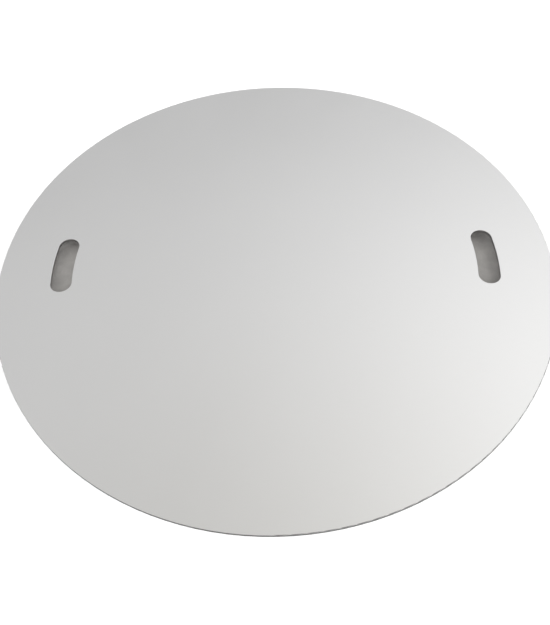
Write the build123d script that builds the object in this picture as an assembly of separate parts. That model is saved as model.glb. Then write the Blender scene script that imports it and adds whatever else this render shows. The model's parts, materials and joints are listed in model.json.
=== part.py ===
from build123d import *

import math
import os

# Round lift-off cover plate with two curved hand slots.
# Millimetres. The origin is the centre of the foot of the locating ring, on the
# surface that the cover is set down on; +Z is up, and the hand slots lie on the X axis.

# ---- driving dimensions ----
plate_radius = 330.0
plate_thickness = 4.0
plate_edge_radius = 0.8

slot_circle_radius = 254.7      # centre line of both curved slots
slot_width = 25.0
slot_half_angle = 6.38          # from the X axis to the centre of each round end
slot_edge_radius = 0.6

ring_outer_radius = 305.0
ring_thickness = 4.0
ring_height = 30.0
ring_edge_break = 0.5

pan_sheet = 1.2                 # sheet that the grip pans are drawn from
pan_undercut = 14.0             # how far a pan reaches past the slot, for the fingertips
pan_depth = 16.0                # underside of the plate to the pan floor
pan_draft = 6.0                 # degrees that the pan wall leans inwards
pan_floor_radius = 5.0
pan_lip_radius = 2.4
pan_flange_width = 12.5

gasket_thickness = 1.5
gasket_hole_radius = 3.6

stud_radius = 2.5               # M5 weld stud
stud_length = 10.0
stud_base_radius = 3.25
stud_base_height = 0.7
stud_tip_chamfer = 0.5
stud_line_offset = 7.0          # from the outside of the pan wall to the stud line
stud_side_angle = 5.0           # side studs stand this far round from the X axis
pan_hole_radius = 2.75

washer_radius = 5.0
washer_hole_radius = 2.65
washer_thickness = 1.0
washer_edge_break = 0.15

nut_across_flats = 8.0
nut_height = 4.0
nut_hole_radius = 2.52
nut_corner_chamfer = 0.6

weld_count = 12
weld_leg = 3.0
weld_bulge = 1.86               # corner to the crown of the bead, along each leg
weld_span = 5.0                 # degrees of ring that one weld bead covers

# ---- derived heights ----
plate_under_z = ring_height
plate_top_z = plate_under_z + plate_thickness
flange_top_z = plate_under_z - gasket_thickness
flange_under_z = flange_top_z - pan_sheet
washer_under_z = flange_under_z - washer_thickness
pan_floor_z = plate_under_z - pan_depth

ring_inner_radius = ring_outer_radius - ring_thickness
pan_inner_offset = pan_undercut
pan_outer_offset = pan_inner_offset + pan_sheet
flange_offset = pan_outer_offset + pan_flange_width
stud_offset = slot_width / 2 + pan_outer_offset + stud_line_offset

sides = {"right": 0.0, "left": 180.0}       # direction of each hand slot, degrees
standing = (Align.CENTER, Align.CENTER, Align.MIN)
hanging = (Align.CENTER, Align.CENTER, Align.MAX)


def slot_shape(side_angle, grow=0.0):
    """Curved slot with round ends, widened by grow all round."""
    centre_line = CenterArc(
        (0, 0, 0), slot_circle_radius, side_angle - slot_half_angle, 2 * slot_half_angle
    )
    return SlotArc(centre_line, slot_width + 2 * grow)


def slot_block(side_angle, grow, low_z, high_z):
    """The curved slot shape as a block between two heights."""
    return extrude(Pos(0, 0, low_z) * slot_shape(side_angle, grow), high_z - low_z)


def edges_at(shape, height):
    """Edges that lie wholly at one height."""
    return shape.edges().filter_by_position(Axis.Z, height - 0.001, height + 0.001)


def stud_places(side_angle):
    """Places of the six studs of one pan: two outside, two inside, one past each end."""
    places = []
    for way in (-1, 1):
        for radius in (slot_circle_radius + stud_offset, slot_circle_radius - stud_offset):
            angle = math.radians(side_angle + way * stud_side_angle)
            places.append((radius * math.cos(angle), radius * math.sin(angle)))
        end = math.radians(side_angle + way * slot_half_angle)
        end_x = slot_circle_radius * math.cos(end) - way * stud_offset * math.sin(end)
        end_y = slot_circle_radius * math.sin(end) + way * stud_offset * math.cos(end)
        places.append((end_x, end_y))
    return places


def ring_of(outer_radius, inner_radius, low_z, high_z):
    """Plain hollow cylinder on the Z axis."""
    height = high_z - low_z
    outer = Cylinder(outer_radius, height, align=standing)
    inner = Cylinder(inner_radius, height, align=standing)
    return Pos(0, 0, low_z) * (outer - inner)


def make_cover_plate():
    """Flat disc with two curved hand slots and softened edges."""
    disc = Cylinder(plate_radius, plate_thickness, align=standing)
    plate = Pos(0, 0, plate_under_z) * disc
    rims = edges_at(plate, plate_top_z) + edges_at(plate, plate_under_z)
    plate = fillet(rims, plate_edge_radius)
    for side_angle in sides.values():
        plate = plate - slot_block(side_angle, 0.0, plate_under_z - 1, plate_top_z + 1)
    face_edges = edges_at(plate, plate_top_z) + edges_at(plate, plate_under_z)
    slot_edges = [edge for edge in face_edges if edge.length < plate_radius]
    return fillet(slot_edges, slot_edge_radius)


def pan_bowl(side_angle, offset, floor_z, floor_radius):
    """Solid of one bowl surface: tapered wall with a rounded floor."""
    mouth = Pos(0, 0, flange_top_z) * slot_shape(side_angle, offset)
    bowl = extrude(mouth, flange_top_z - floor_z, dir=(0, 0, -1), taper=pan_draft)
    return fillet(edges_at(bowl, floor_z), floor_radius)


def inner_outline(shape, height):
    """Edges of the opening in the flat face at one height."""
    flat_faces = shape.faces().filter_by(Plane.XY)
    face = flat_faces.sort_by(lambda item: abs(item.center().Z - height))[0]
    return face.inner_wires()[0].edges()


def make_grip_pan(side_angle):
    """Drawn sheet bowl with a flat flange, closing one hand slot from below."""
    flange = slot_block(side_angle, flange_offset, flange_under_z, flange_top_z)
    outside = pan_bowl(
        side_angle,
        pan_outer_offset,
        pan_floor_z - pan_sheet,
        pan_floor_radius + pan_sheet,
    )
    inside = pan_bowl(side_angle, pan_inner_offset, pan_floor_z, pan_floor_radius)
    pan = flange + outside - inside
    pan = fillet(inner_outline(pan, flange_top_z), pan_lip_radius)
    pan = fillet(inner_outline(pan, flange_under_z), pan_lip_radius - pan_sheet)
    for x, y in stud_places(side_angle):
        hole = Cylinder(pan_hole_radius, 4 * pan_sheet)
        pan = pan - Pos(x, y, flange_top_z) * hole
    return pan


def make_pan_gasket(side_angle):
    """Flat gasket between the plate and the flange of one pan."""
    outer = slot_block(side_angle, flange_offset, flange_top_z, plate_under_z)
    inner = slot_block(side_angle, pan_inner_offset + pan_lip_radius, flange_top_z, plate_under_z)
    gasket = outer - inner
    for x, y in stud_places(side_angle):
        hole = Cylinder(gasket_hole_radius, 4 * gasket_thickness)
        gasket = gasket - Pos(x, y, flange_top_z) * hole
    return gasket


def make_stud():
    """One weld stud, hanging down from its welded base at z = 0."""
    shank = Cylinder(stud_radius, stud_length, align=hanging)
    shank = chamfer(edges_at(shank, -stud_length), stud_tip_chamfer)
    base = Cylinder(stud_base_radius, stud_base_height, align=hanging)
    return base + shank


def make_washer():
    """One plain washer with its upper face at z = 0."""
    disc = Cylinder(washer_radius, washer_thickness, align=hanging)
    rims = edges_at(disc, 0) + edges_at(disc, -washer_thickness)
    hole = Cylinder(washer_hole_radius, 4 * washer_thickness)
    return chamfer(rims, washer_edge_break) - hole


def make_nut():
    """One hexagon nut with its upper face at z = 0 and turned corners."""
    corner_radius = nut_across_flats / math.sqrt(3)
    hexagon = RegularPolygon(corner_radius, 6)
    body = extrude(Pos(0, 0, -nut_height) * hexagon, nut_height)
    turned = Pos(0, 0, -nut_height / 2) * Cylinder(corner_radius, nut_height)
    rims = edges_at(turned, 0) + edges_at(turned, -nut_height)
    turned = chamfer(rims, nut_corner_chamfer / 2, nut_corner_chamfer)
    hole = Cylinder(nut_hole_radius, 4 * nut_height)
    return (body & turned) - hole


def make_locating_ring():
    """Rolled flat bar that drops inside the mouth and carries the cover when set down."""
    ring = ring_of(ring_outer_radius, ring_inner_radius, 0, plate_under_z)
    return chamfer(edges_at(ring, 0), ring_edge_break)


def make_weld_beads():
    """Short fillet welds in the inner corner between the ring and the plate."""
    corner = (ring_inner_radius, 0, plate_under_z)
    down = (ring_inner_radius, 0, plate_under_z - weld_leg)
    inward = (ring_inner_radius - weld_leg, 0, plate_under_z)
    bulge = (ring_inner_radius - weld_bulge, 0, plate_under_z - weld_bulge)
    outline = Wire([Line(corner, down), ThreePointArc(down, bulge, inward), Line(inward, corner)])
    beads = []
    for index in range(weld_count):
        start = 360.0 * (index + 0.5) / weld_count - weld_span / 2
        bead = revolve(Face(outline), Axis.Z, weld_span)
        beads.append(Rot(0, 0, start) * bead)
    return beads


def group(label, solids):
    """Several equal solids kept as one named group."""
    return Compound(label=label, children=[Solid(solid.solid().wrapped) for solid in solids])


def place_at_studs(item, side_angle, height):
    """Copies of one small piece at the six stud places of a pan."""
    return [Pos(x, y, height) * item for x, y in stud_places(side_angle)]


def save(name, shape):
    """Write one sub-part as its own STEP file."""
    shape.label = name
    export_step(shape, f"parts/{name}.step")


os.makedirs("parts", exist_ok=True)

save("cover_plate", make_cover_plate())
save("locating_ring", make_locating_ring())
save("ring_weld_beads", group("ring_weld_beads", make_weld_beads()))
for side, side_angle in sides.items():
    save(f"{side}_grip_pan", make_grip_pan(side_angle))
    save(f"{side}_pan_gasket", make_pan_gasket(side_angle))
    studs = place_at_studs(make_stud(), side_angle, plate_under_z)
    save(f"{side}_pan_studs", group(f"{side}_pan_studs", studs))
    washers = place_at_studs(make_washer(), side_angle, flange_under_z)
    save(f"{side}_pan_washers", group(f"{side}_pan_washers", washers))
    nuts = place_at_studs(make_nut(), side_angle, washer_under_z)
    save(f"{side}_pan_nuts", group(f"{side}_pan_nuts", nuts))
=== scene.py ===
import json
import math
import random

import bmesh
import bpy
from mathutils import Matrix, Vector


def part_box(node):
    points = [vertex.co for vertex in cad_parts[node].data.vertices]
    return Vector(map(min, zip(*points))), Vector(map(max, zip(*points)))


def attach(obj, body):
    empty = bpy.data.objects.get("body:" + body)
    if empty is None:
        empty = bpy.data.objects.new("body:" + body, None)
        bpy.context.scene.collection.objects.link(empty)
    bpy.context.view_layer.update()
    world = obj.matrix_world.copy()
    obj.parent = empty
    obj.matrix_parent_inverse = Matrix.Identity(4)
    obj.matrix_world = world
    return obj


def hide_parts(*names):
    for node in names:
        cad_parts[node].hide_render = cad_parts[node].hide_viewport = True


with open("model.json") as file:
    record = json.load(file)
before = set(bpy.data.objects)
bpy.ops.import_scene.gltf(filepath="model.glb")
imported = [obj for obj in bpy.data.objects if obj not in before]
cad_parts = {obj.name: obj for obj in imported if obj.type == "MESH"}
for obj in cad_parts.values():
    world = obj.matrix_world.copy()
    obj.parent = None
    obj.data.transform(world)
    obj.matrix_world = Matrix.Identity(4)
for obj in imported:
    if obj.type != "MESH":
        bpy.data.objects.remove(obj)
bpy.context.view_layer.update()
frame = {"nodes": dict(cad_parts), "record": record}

# Round cover plate with two hand slots: materials, weld beads, stud threads, studio and camera.
# Metres, in the frame of the CAD model: the origin is the centre of the ring's foot, +Z is up.

MM = 0.001

# ---- places read from the frame ----
plate_low, plate_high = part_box("cover_plate")
ring_low, ring_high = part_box("locating_ring")
bead_low, bead_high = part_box("ring_weld_beads")
plate_radius = (plate_high.y - plate_low.y) / 2
plate_top = plate_high.z
plate_under = plate_low.z
ring_radius = (ring_high.y - ring_low.y) / 2

RING_THICKNESS = 4 * MM
ring_inside = ring_radius - RING_THICKNESS
bead_leg = bead_high.z - bead_low.z
BEAD_COUNT = 12
BEAD_SPAN = math.radians(5.0)


# ---------------------------------------------------------------- node helpers
class Graph:
    """A node tree, with short calls for the kinds of node used in this file."""

    def __init__(self, tree):
        self.tree = tree

    def add(self, kind, **settings):
        node = self.tree.nodes.new(kind)
        for label, value in settings.items():
            setattr(node, label, value)
        return node

    def plug(self, value, socket):
        """A link if value is a socket, or else a plain value."""
        if isinstance(value, bpy.types.NodeSocket):
            self.tree.links.new(value, socket)
        else:
            socket.default_value = value

    def math(self, operation, first, second=0.5):
        node = self.add("ShaderNodeMath", operation=operation)
        for value, socket in zip((first, second), node.inputs):
            self.plug(value, socket)
        return node.outputs[0]

    def axes(self, vector):
        node = self.add("ShaderNodeSeparateXYZ")
        self.plug(vector, node.inputs[0])
        return node.outputs["X"], node.outputs["Y"], node.outputs["Z"]

    def stretch(self, vector, scale):
        node = self.add("ShaderNodeMapping")
        self.plug(vector, node.inputs["Vector"])
        node.inputs["Scale"].default_value = scale
        return node.outputs[0]

    def noise(self, vector, scale, detail):
        node = self.add("ShaderNodeTexNoise")
        self.plug(vector, node.inputs["Vector"])
        node.inputs["Scale"].default_value = scale
        node.inputs["Detail"].default_value = detail
        return node.outputs["Fac"]

    def span(self, value, low, high, to_low=0.0, to_high=1.0):
        """value moved from low..high to to_low..to_high, with soft ends."""
        node = self.add("ShaderNodeMapRange", interpolation_type="SMOOTHSTEP")
        for given, label in (
            (value, "Value"), (low, "From Min"), (high, "From Max"),
            (to_low, "To Min"), (to_high, "To Max"),
        ):
            self.plug(given, node.inputs[label])
        return node.outputs[0]

    def mix(self, share, first, second):
        node = self.add("ShaderNodeMix", data_type="RGBA")
        self.plug(share, node.inputs[0])
        self.plug(first, node.inputs[6])
        self.plug(second, node.inputs[7])
        return node.outputs[2]

    def ramp(self, value, stops):
        node = self.add("ShaderNodeValToRGB")
        self.plug(value, node.inputs[0])
        elements = node.color_ramp.elements
        while len(elements) < len(stops):
            elements.new(0.5)
        for element, (at, colour) in zip(elements, stops):
            element.position = at
            element.color = colour
        return node.outputs[0]

    def bump(self, height, depth, under=None):
        """A bump whose full height is depth metres."""
        node = self.add("ShaderNodeBump")
        node.inputs["Strength"].default_value = 1.0
        node.inputs["Distance"].default_value = depth
        self.plug(height, node.inputs["Height"])
        if under is not None:
            self.plug(under, node.inputs["Normal"])
        return node.outputs[0]


class MaterialGraph(Graph):
    """A new material's node tree, around one shader."""

    def __init__(self, name, **sockets):
        self.material = bpy.data.materials.new(name)
        self.material.use_nodes = True
        super().__init__(self.material.node_tree)
        self.tree.nodes.clear()
        self.shader = self.add("ShaderNodeBsdfPrincipled")
        output = self.add("ShaderNodeOutputMaterial")
        self.plug(self.shader.outputs["BSDF"], output.inputs["Surface"])
        for label, value in sockets.items():
            self.set(label, value)

    def place(self):
        """The point's own coordinates in the frame of the model."""
        return self.add("ShaderNodeTexCoord").outputs["Object"]

    def set(self, label, value):
        self.plug(value, self.shader.inputs[label])


def grey(value, warmth=0.0):
    """An opaque grey, with a little more red and less blue as warmth grows."""
    return (value * (1 + warmth), value, value * (1 - warmth), 1.0)


def upright(graph, wall_below=0.45, level_above=0.90):
    """1 on walls that stand upright, 0 on level faces."""
    normal = graph.add("ShaderNodeNewGeometry").outputs["True Normal"]
    level = graph.math("ABSOLUTE", graph.axes(normal)[2])
    return graph.span(level, wall_below, level_above, 1.0, 0.0)


def from_axis(graph, x, y):
    """Distance from the Z axis of the model."""
    squares = graph.math("ADD", graph.math("MULTIPLY", x, x), graph.math("MULTIPLY", y, y))
    return graph.math("SQRT", squares)


def unsteady(graph, noise, swing):
    """A noise centred on zero that swings over a total of swing."""
    return graph.math("MULTIPLY", graph.math("SUBTRACT", noise, 0.5), swing)


# Counted in bead legs.
THROUGH_RING = 2.4              # how much faster heat falls off through the ring than along the plate
ABOVE_UNDERSIDE = 0.3           # higher than this, a point is on the top face
OUT_OF_REACH = 20.0             # distance given to the top face, so that it has no tint
HEAT_WANDER = 0.9               # how unsteady the edge of the tint is


def weld_heat(graph, place):
    """Distance in bead legs from the nearest weld bead, on the underside and the ring."""
    x, y, z = graph.axes(place)
    angle = graph.math("ARCTAN2", y, x)
    turn = 2 * math.pi / BEAD_COUNT
    off_bead = graph.math("PINGPONG", graph.math("SUBTRACT", angle, turn / 2), turn / 2)
    past_end = graph.math("SUBTRACT", off_bead, BEAD_SPAN / 2)
    along = graph.math("MULTIPLY", graph.math("MAXIMUM", past_end, 0.0), ring_inside / bead_leg)
    radius = from_axis(graph, x, y)
    across = graph.math("DIVIDE", graph.math("SUBTRACT", radius, ring_inside), bead_leg)
    outward = graph.math("MULTIPLY", across, THROUGH_RING)
    inward = graph.math("MULTIPLY", across, -1.0)
    across = graph.math("MAXIMUM", outward, inward)
    down = graph.math("DIVIDE", graph.math("SUBTRACT", z, plate_under), bead_leg)
    on_top = graph.math("GREATER_THAN", down, ABOVE_UNDERSIDE)
    above = graph.math("MULTIPLY", on_top, OUT_OF_REACH)
    total = graph.math("MULTIPLY", along, along)
    for side in (across, down, above):
        total = graph.math("ADD", total, graph.math("MULTIPLY", side, side))
    wander = unsteady(graph, graph.noise(place, 220.0, 2.0), HEAT_WANDER)
    return graph.math("ADD", graph.math("SQRT", total), wander)


def heat_tint(graph, distance, plain):
    """Faint blue, brown and straw oxide bands beside a weld, over the plain metal colour."""
    share = graph.span(distance, 0.7, 4.6)
    tint = graph.ramp(share, [
        (0.0, (0.34, 0.33, 0.34, 1)),
        (0.22, (0.33, 0.36, 0.46, 1)),
        (0.42, (0.44, 0.36, 0.34, 1)),
        (0.66, (0.62, 0.53, 0.38, 1)),
        (1.0, (0.66, 0.63, 0.58, 1)),
    ])
    return graph.mix(graph.span(share, 0.45, 1.0), tint, plain)


# ---------------------------------------------------------------- materials
RIM_ZONE = 0.9                  # share of the plate's radius: walls beyond it are rim, not slot


def satin_plate():
    """Fine satin stainless: plain face and heat tint under the welds. The outer cut edge is painted
    near black and the slot walls grey, as painted shade.
    """
    g = MaterialGraph("satin_plate", Metallic=1.0)
    place = g.place()
    grain = g.noise(g.stretch(place, (60.0, 5200.0, 60.0)), 1.0, 3.0)
    cloud = g.noise(place, 9.0, 3.0)
    specks = g.noise(place, 1800.0, 2.0)
    wall = upright(g, 0.60, 0.97)
    striations = g.noise(g.stretch(place, (2600.0, 2600.0, 90.0)), 1.0, 2.0)

    face = g.mix(cloud, grey(0.763), grey(0.793))
    face = g.mix(g.span(grain, 0.3, 0.7, 0.0, 0.12), face, grey(0.70))
    face = heat_tint(g, weld_heat(g, place), face)
    # Painted shade: the outer cut edge is painted near black and the slot walls mid grey. A cut edge
    # is a little darker, but these greys mostly stand in for the shade that darkens these edges.
    rim_painted_shade = g.mix(striations, grey(0.05, 0.01), grey(0.12, 0.01))
    slot_wall_painted_shade = g.mix(striations, grey(0.30, 0.01), grey(0.42, 0.01))
    x, y, _ = g.axes(place)
    at_rim = g.math("GREATER_THAN", from_axis(g, x, y), RIM_ZONE * plate_radius)
    edge = g.mix(at_rim, slot_wall_painted_shade, rim_painted_shade)
    g.set("Base Color", g.mix(wall, face, edge))

    satin = g.math("ADD", 0.34, unsteady(g, grain, 0.10))
    satin = g.math("ADD", satin, unsteady(g, cloud, 0.04))
    g.set("Roughness", g.math("ADD", satin, g.math("MULTIPLY", wall, 0.12)))
    fine = g.bump(grain, 0.0012 * MM)
    fine = g.bump(specks, 0.0010 * MM, fine)
    cut = g.bump(g.math("MULTIPLY", striations, wall), 0.05 * MM, fine)
    g.set("Normal", cut)
    return g.material


def mill_bar():
    """Rolled flat bar: drawing lines, the dressed closing seam and heat tint by the welds."""
    g = MaterialGraph("mill_bar", Metallic=1.0)
    place = g.place()
    lines = g.noise(g.stretch(place, (14.0, 14.0, 2400.0)), 1.0, 3.0)
    cloud = g.noise(place, 26.0, 3.0)
    pits = g.noise(place, 1500.0, 2.0)
    steel = g.mix(cloud, grey(0.56, 0.008), grey(0.66, 0.006))
    steel = g.mix(g.span(lines, 0.35, 0.75, 0.0, 0.25), steel, grey(0.46, 0.01))
    x, y, _ = g.axes(place)
    wander = unsteady(g, g.noise(place, 300.0, 2.0), 1.2 * MM)
    from_seam = g.math("ABSOLUTE", g.math("ADD", x, wander))
    from_seam = g.math("ADD", from_seam, g.math("GREATER_THAN", 0.0, y))
    seam = g.span(from_seam, 2.2 * MM, 3.0 * MM, 1.0, 0.0)
    browned = g.span(from_seam, 3.0 * MM, 8.0 * MM, 0.35, 0.0)
    steel = g.mix(browned, steel, (0.50, 0.43, 0.33, 1))
    dressed = g.noise(g.stretch(place, (300.0, 300.0, 2200.0)), 1.0, 2.0)
    steel = g.mix(seam, steel, g.mix(dressed, grey(0.56, 0.01), grey(0.74, 0.01)))
    g.set("Base Color", heat_tint(g, weld_heat(g, place), steel))
    rough = g.math("ADD", 0.36, g.math("MULTIPLY", lines, 0.20))
    g.set("Roughness", g.math("SUBTRACT", rough, g.math("MULTIPLY", seam, 0.12)))
    g.set("Normal", g.bump(pits, 0.004 * MM, g.bump(lines, 0.006 * MM)))
    return g.material


def drawn_pan_painted_shade():
    """Drawn sheet whose dull mid grey is painted shade for the slots' depths, with blasted specks,
    draw lines on its walls and rubbed spots.
    """
    g = MaterialGraph("drawn_pan_painted_shade", Metallic=0.3)
    place = g.place()
    wall = upright(g)
    draw_lines = g.noise(g.stretch(place, (1900.0, 1900.0, 40.0)), 1.0, 3.0)
    blasted = g.noise(place, 1500.0, 3.0)
    cloud = g.noise(place, 60.0, 3.0)
    # Painted shade: this dull mid grey stands in for the shade seen down through the slots.
    steel = g.mix(g.span(cloud, 0.3, 0.7), grey(0.36, 0.03), grey(0.44, 0.03))
    steel = g.mix(g.span(blasted, 0.35, 0.75, 0.0, 0.45), steel, grey(0.50, 0.025))
    marked = g.math("MULTIPLY", wall, g.span(draw_lines, 0.30, 0.75, 0.0, 0.5))
    g.set("Base Color", g.mix(marked, steel, grey(0.32, 0.02)))
    rubbing = g.noise(g.stretch(place, (700.0, 120.0, 400.0)), 1.0, 3.0)
    scuff = g.span(rubbing, 0.60, 0.72, 0.0, -0.25)
    dull = g.math("ADD", 0.80, g.math("MULTIPLY", cloud, 0.12))
    g.set("Roughness", g.math("ADD", dull, scuff))
    lined = g.bump(g.math("MULTIPLY", draw_lines, wall), 0.01 * MM)
    g.set("Normal", g.bump(blasted, 0.015 * MM, lined))
    return g.material


def sheet_rubber():
    """Matte black gasket sheet with a faint dusty bloom."""
    g = MaterialGraph("sheet_rubber", Metallic=0.0)
    place = g.place()
    bloom = g.noise(place, 140.0, 4.0)
    nap = g.noise(place, 2600.0, 3.0)
    g.set("Base Color", g.mix(g.span(bloom, 0.4, 0.75), grey(0.020), grey(0.050, 0.02)))
    g.set("Roughness", g.math("ADD", 0.72, g.math("MULTIPLY", bloom, 0.16)))
    g.set("Normal", g.bump(nap, 0.03 * MM))
    return g.material


def bright_fastener(name, shade, gloss):
    """Cold-formed stainless hardware with small tooling marks."""
    g = MaterialGraph(name, Metallic=1.0)
    place = g.place()
    marks = g.noise(g.stretch(place, (3200.0, 3200.0, 700.0)), 1.0, 3.0)
    cloud = g.noise(place, 320.0, 2.0)
    g.set("Base Color", g.mix(cloud, grey(shade * 0.86, 0.006), grey(shade, 0.004)))
    g.set("Roughness", g.math("ADD", gloss, g.math("MULTIPLY", marks, 0.16)))
    g.set("Normal", g.bump(marks, 0.008 * MM))
    return g.material


def weld_bead():
    """Weld metal, bright on the crown with straw and blue oxide towards the toes."""
    g = MaterialGraph("weld_bead", Metallic=1.0)
    place = g.place()
    x, y, z = g.axes(place)
    inward = g.math("SUBTRACT", ring_inside, from_axis(g, x, y))
    down = g.math("SUBTRACT", plate_under, z)
    toe = g.math("DIVIDE", g.math("ABSOLUTE", g.math("SUBTRACT", inward, down)), bead_leg)
    cloud = g.noise(place, 520.0, 2.0)
    toe = g.math("ADD", toe, unsteady(g, cloud, 0.5))
    colour = g.ramp(toe, [
        (0.0, (0.60, 0.58, 0.55, 1)),
        (0.45, (0.60, 0.56, 0.48, 1)),
        (0.75, (0.46, 0.40, 0.36, 1)),
        (1.0, (0.30, 0.32, 0.40, 1)),
    ])
    g.set("Base Color", colour)
    g.set("Roughness", g.math("ADD", 0.28, g.math("MULTIPLY", cloud, 0.16)))
    g.set("Normal", g.bump(g.noise(place, 3000.0, 2.0), 0.006 * MM))
    return g.material


finishes = {
    "plate_steel": satin_plate(),
    "ring_steel": mill_bar(),
    "pan_steel": drawn_pan_painted_shade(),
    "gasket_rubber": sheet_rubber(),
    "fastener_steel": bright_fastener("bright_fastener", 0.62, 0.26),
    "weld_metal": weld_bead(),
}
for subpart in frame["record"]["subparts"]:
    node = frame["nodes"][subpart["node"]]
    for material_slot in node.material_slots:
        material_slot.material = finishes[subpart["material_slot"]]


# ---------------------------------------------------------------- mesh pieces
def add_tube(mesh, rings):
    """A closed tube through equal rings of points, with a flat cap on each end."""
    loops = [[mesh.verts.new(point) for point in ring] for ring in rings]
    count = len(rings[0])
    for first, second in zip(loops, loops[1:]):
        for index in range(count):
            after = (index + 1) % count
            mesh.faces.new((first[index], first[after], second[after], second[index]))
    mesh.faces.new(list(reversed(loops[0])))
    mesh.faces.new(loops[-1])


def finish_piece(mesh, name, slot_name, replaced, smooth_angle):
    """The built mesh as a piece that rides on the cover and stands for a CAD node."""
    bmesh.ops.recalc_face_normals(mesh, faces=mesh.faces)
    data = bpy.data.meshes.new(name)
    for face in mesh.faces:
        face.smooth = True
    for edge in mesh.edges:
        edge.smooth = edge.calc_face_angle(0.0) < smooth_angle
    mesh.to_mesh(data)
    mesh.free()
    piece = bpy.data.objects.new(name, data)
    bpy.context.scene.collection.objects.link(piece)
    data.materials.append(finishes[slot_name])
    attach(piece, "root")
    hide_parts(replaced)


RIPPLE_PITCH = 1.5 * MM
RIPPLE_HEIGHT = 0.07            # share of the bead's leg
RIPPLE_BOW = 0.9                # how far a ripple's crescent trails at the bead's sides, in ripples
CROWN_HEIGHT = 0.20             # share of the bead's leg
CROWN_LEAN = 0.7                # the crown stands out at 45 degrees: its share along each leg
SIZE_DRIFT = 0.04               # how unsteady the bead's size is, either way
BEAD_SIZE = 0.94                # mean size, so that no bead outgrows its CAD node
BLUNT_END = 0.12                # how far into its taper a bead starts
END_TAPER = 1.1                 # length of the taper, in bead legs
STATIONS_PER_RIPPLE = 6
BEAD_PROFILE_STEPS = 11
BEAD_CREASE = math.radians(50)  # edges that fold more than this stay sharp


def bead_ring(turn, leg, phase):
    """Cross-section of a bead at one angle: the inner corner, then its rippled crown."""
    points = [(0.0, 0.0)]
    for index in range(BEAD_PROFILE_STEPS + 1):
        share = index / BEAD_PROFILE_STEPS
        across = 2 * share - 1
        wave = phase - RIPPLE_BOW * (1 - across * across)
        ripple = RIPPLE_HEIGHT * (1 - abs(across)) * (math.cos(2 * math.pi * wave) - 1) / 2
        crown = CROWN_HEIGHT * (1 - across * across) + ripple
        inward = leg * (1 - share + crown * CROWN_LEAN)
        down = leg * (share + crown * CROWN_LEAN)
        points.append((min(inward, bead_leg), min(down, bead_leg)))
    return [
        (
            (ring_inside - inward) * math.cos(turn),
            (ring_inside - inward) * math.sin(turn),
            plate_under - down,
        )
        for inward, down in points
    ]


def make_rippled_beads():
    """Short fillet welds with the crescent ripples of a hand-laid bead."""
    mesh = bmesh.new()
    length = ring_inside * BEAD_SPAN
    ripples = round(length / RIPPLE_PITCH)
    stations = ripples * STATIONS_PER_RIPPLE
    for bead in range(BEAD_COUNT):
        middle = 2 * math.pi * (bead + 0.5) / BEAD_COUNT
        wander = random.Random(bead)
        drift = [wander.uniform(-SIZE_DRIFT, SIZE_DRIFT) for _ in range(ripples + 2)]
        rings = []
        for station in range(stations + 1):
            share = station / stations
            turn = middle + (share - 0.5) * BEAD_SPAN
            from_end = min(share, 1 - share) * length / bead_leg
            short_of_full = 1 - min(1.0, BLUNT_END + from_end / END_TAPER)
            taper = math.sqrt(max(0.0, 1 - short_of_full ** 2))
            ripple, part = divmod(station / STATIONS_PER_RIPPLE, 1.0)
            size = BEAD_SIZE + drift[int(ripple)] * (1 - part) + drift[int(ripple) + 1] * part
            rings.append(bead_ring(turn, bead_leg * size * taper, ripple + part))
        add_tube(mesh, rings)
    finish_piece(mesh, "rippled_weld_beads", "weld_metal", "ring_weld_beads", BEAD_CREASE)


THREAD_PITCH = 0.8 * MM
THREAD_DEPTH = 0.45 * MM
THREAD_COLUMNS = 20
ROWS_PER_PITCH = 8
STUD_RADIUS = 2.5 * MM
STUD_COLLAR_RADIUS = 3.25 * MM
STUD_COLLAR_HEIGHT = 0.7 * MM
STUD_LENGTH = 10 * MM
STUD_POINT = 0.5 * MM
# Down the flash collar, as shares of its height and its radius.
COLLAR_LEVELS = ((0.0, 1.0), (0.45, 0.985), (0.80, 0.93), (1.0, 0.83))
GROOVE_SHARPNESS = 1.3
THREAD_CREASE = math.radians(60)
AT_TIP = 0.01 * MM              # how near the lowest level a point counts as a stud's tip


def stud_centres(node):
    """Centres of the separate studs in a CAD node, in metres."""
    mesh = frame["nodes"][node].data
    centres = []
    for vertex in mesh.vertices:
        if vertex.co.z < plate_under - STUD_LENGTH + AT_TIP:
            for group in centres:
                if (group[0].xy - vertex.co.xy).length < 2 * STUD_RADIUS:
                    group.append(vertex.co)
                    break
            else:
                centres.append([vertex.co])
    return [sum(group, Vector()).xy / len(group) for group in centres]


def thread_radius(height, turn):
    """Radius of the threaded shank at a depth below its collar and an angle."""
    phase = (height / THREAD_PITCH - turn / (2 * math.pi)) % 1.0
    groove = 0.5 - 0.5 * math.cos(2 * math.pi * phase)
    return STUD_RADIUS - THREAD_DEPTH * groove ** GROOVE_SHARPNESS


def thread_turns():
    """The angles of one ring of thread points."""
    return [2 * math.pi * column / THREAD_COLUMNS for column in range(THREAD_COLUMNS)]


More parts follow.
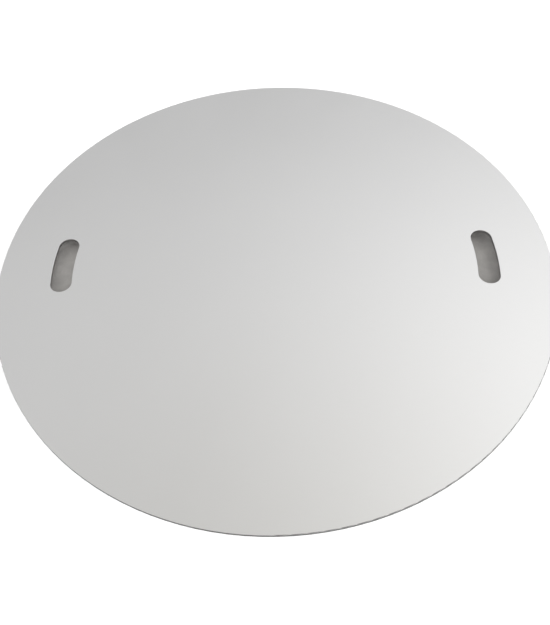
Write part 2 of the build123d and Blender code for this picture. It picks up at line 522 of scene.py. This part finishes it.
def make_threaded_studs(side):
    """Weld studs with a flash collar, a cut thread and a pointed end."""
    mesh = bmesh.new()
    shank = STUD_LENGTH - STUD_COLLAR_HEIGHT
    rows = round(shank / THREAD_PITCH * ROWS_PER_PITCH)
    for centre in stud_centres(f"{side}_pan_studs"):
        rings = [
            [
                (STUD_COLLAR_RADIUS * wide, turn, STUD_COLLAR_HEIGHT * deep)
                for turn in thread_turns()
            ]
            for deep, wide in COLLAR_LEVELS
        ]
        for row in range(rows + 1):
            height = shank * row / rows
            to_point = min(1.0, (shank - height) / STUD_POINT)
            start = min(1.0, height / THREAD_PITCH)
            ring = []
            for turn in thread_turns():
                radius = thread_radius(height, turn)
                radius = min(radius, STUD_RADIUS - THREAD_DEPTH * (1 - to_point))
                radius = radius * start + (STUD_RADIUS - THREAD_DEPTH) * (1 - start)
                ring.append((radius, turn, STUD_COLLAR_HEIGHT + height))
            rings.append(ring)
        add_tube(mesh, [
            [
                (
                    centre.x + radius * math.cos(turn),
                    centre.y + radius * math.sin(turn),
                    plate_under - down,
                )
                for radius, turn, down in ring
            ]
            for ring in rings
        ])
    finish_piece(
        mesh, f"{side}_threaded_studs", "fastener_steel", f"{side}_pan_studs", THREAD_CREASE
    )


make_rippled_beads()
make_threaded_studs("left")
make_threaded_studs("right")


# ---------------------------------------------------------------- studio
FLOOR_HALF = 12.0
FLOOR_GREY = (0.85, 0.85, 0.85, 1)

RIGHT_STRENGTH = 2.0
LEFT_STRENGTH = 1.75
RIGHT_FROM = (1.44, -1.60, 2.08)
LEFT_FROM = (-1.44, -1.60, 2.08)
SOFT_LIGHT_SPREAD = 50.0        # degrees of sky that each soft light covers

# The surround that the plate mirrors. The lobe is a bright patch: degrees right of the back,
# degrees up, the cosine where it begins, and its gain. These eight values started from a fit to
# the shading of the plate, and were then rounded or eased.
SURROUND = 0.795
LOBE_AZIMUTH = 64.3
LOBE_HEIGHT = 46.6
LOBE_START = 0.562
LOBE_GAIN = 3.93
LOW_SHADE = 0.51
MIDDLE_SHADE = 0.99
TOP_SHADE = 0.735
# Shade at each height, as the sine of the angle up: bright at the horizon, darkest at 35 degrees.
HEIGHT_SHADES = (
    (0.0, 1.35), (0.12, 1.25), (0.28, 0.95), (0.45, 0.74),
    (0.58, LOW_SHADE), (0.68, MIDDLE_SHADE), (0.80, 1.0), (0.98, TOP_SHADE),
)
OVERHEAD = 0.9
OVERHEAD_TINT = (1.018, 1.0, 0.950)
PLAIN_TINT = (1.0, 1.0, 1.0)

# The camera was fitted to the outline of the disc and to its slots.
CAMERA_LENS = 39.57
CAMERA_SENSOR = 36.0
CAMERA_OFFSET = (0.0660, -1.5950, 1.9412)       # in plate radii, from the centre of the top face
CAMERA_YAW = -2.56
CAMERA_PITCH = 54.91
CAMERA_ROLL = -3.19


def make_floor():
    """Plain pale studio floor."""
    half = FLOOR_HALF
    mesh = bpy.data.meshes.new("studio_floor")
    corners = [(-half, -half, 0), (half, -half, 0), (half, half, 0), (-half, half, 0)]
    mesh.from_pydata(corners, [], [(0, 1, 2, 3)])
    floor = bpy.data.objects.new("studio_floor", mesh)
    bpy.context.scene.collection.objects.link(floor)
    g = MaterialGraph("pale_floor", Roughness=0.9)
    g.set("Base Color", FLOOR_GREY)
    g.set("Specular IOR Level", 0.0)
    mesh.materials.append(g.material)


def make_soft_light(name, towards, strength):
    """Broad soft light coming from one direction, kept out of the mirror reflections."""
    light = bpy.data.lights.new(name, "SUN")
    light.angle = math.radians(SOFT_LIGHT_SPREAD)
    light.energy = strength
    lamp = bpy.data.objects.new(name, light)
    lamp.location = towards
    lamp.rotation_euler = Vector(towards).to_track_quat("Z", "Y").to_euler()
    lamp.visible_glossy = False
    bpy.context.scene.collection.objects.link(lamp)


def make_world():
    """White surround: a bright patch high on the right, shaded by height, warm overhead."""
    world = bpy.data.worlds.new("studio_surround")
    world.use_nodes = True
    g = Graph(world.node_tree)
    azimuth, height = math.radians(LOBE_AZIMUTH), math.radians(LOBE_HEIGHT)
    brightest = (
        math.sin(azimuth) * math.cos(height),
        math.cos(azimuth) * math.cos(height),
        math.sin(height),
    )
    direction = g.add("ShaderNodeTexCoord").outputs["Generated"]
    facing = g.add("ShaderNodeVectorMath", operation="DOT_PRODUCT")
    g.plug(direction, facing.inputs[0])
    g.plug(brightest, facing.inputs[1])
    past_start = g.math("SUBTRACT", facing.outputs["Value"], LOBE_START)
    lobe = g.math("MAXIMUM", past_start, 0.0)
    lobe = g.math("MULTIPLY", g.math("MULTIPLY", lobe, lobe), LOBE_GAIN)

    stops = []
    for at, shade in HEIGHT_SHADES:
        tint = OVERHEAD_TINT if at > OVERHEAD else PLAIN_TINT
        stops.append((at, tuple(shade * part for part in tint) + (1.0,)))
    by_height = g.ramp(g.axes(direction)[2], stops)
    background = world.node_tree.nodes["Background"]
    g.plug(by_height, background.inputs["Color"])
    g.plug(g.math("ADD", lobe, SURROUND), background.inputs["Strength"])
    bpy.context.scene.world = world


def make_camera():
    """Camera above the near edge, looking down across the plate."""
    data = bpy.data.cameras.new("photo_view")
    data.lens = CAMERA_LENS
    data.sensor_width = CAMERA_SENSOR
    camera = bpy.data.objects.new("photo_view", data)
    offset = plate_radius * Vector(CAMERA_OFFSET)
    camera.location = Vector((0, 0, plate_top)) + offset
    yaw, pitch, roll = map(math.radians, (CAMERA_YAW, CAMERA_PITCH, CAMERA_ROLL))
    turn = (
        Matrix.Rotation(-yaw, 3, "Z")
        @ Matrix.Rotation(math.pi / 2 - pitch, 3, "X")
        @ Matrix.Rotation(roll, 3, "Z")
    )
    camera.rotation_euler = turn.to_euler()
    bpy.context.scene.collection.objects.link(camera)
    bpy.context.scene.camera = camera


make_floor()
make_world()
make_soft_light("right_soft_light", RIGHT_FROM, RIGHT_STRENGTH)
make_soft_light("left_soft_light", LEFT_FROM, LEFT_STRENGTH)
make_camera()
bpy.context.scene.view_settings.view_transform = "Standard"
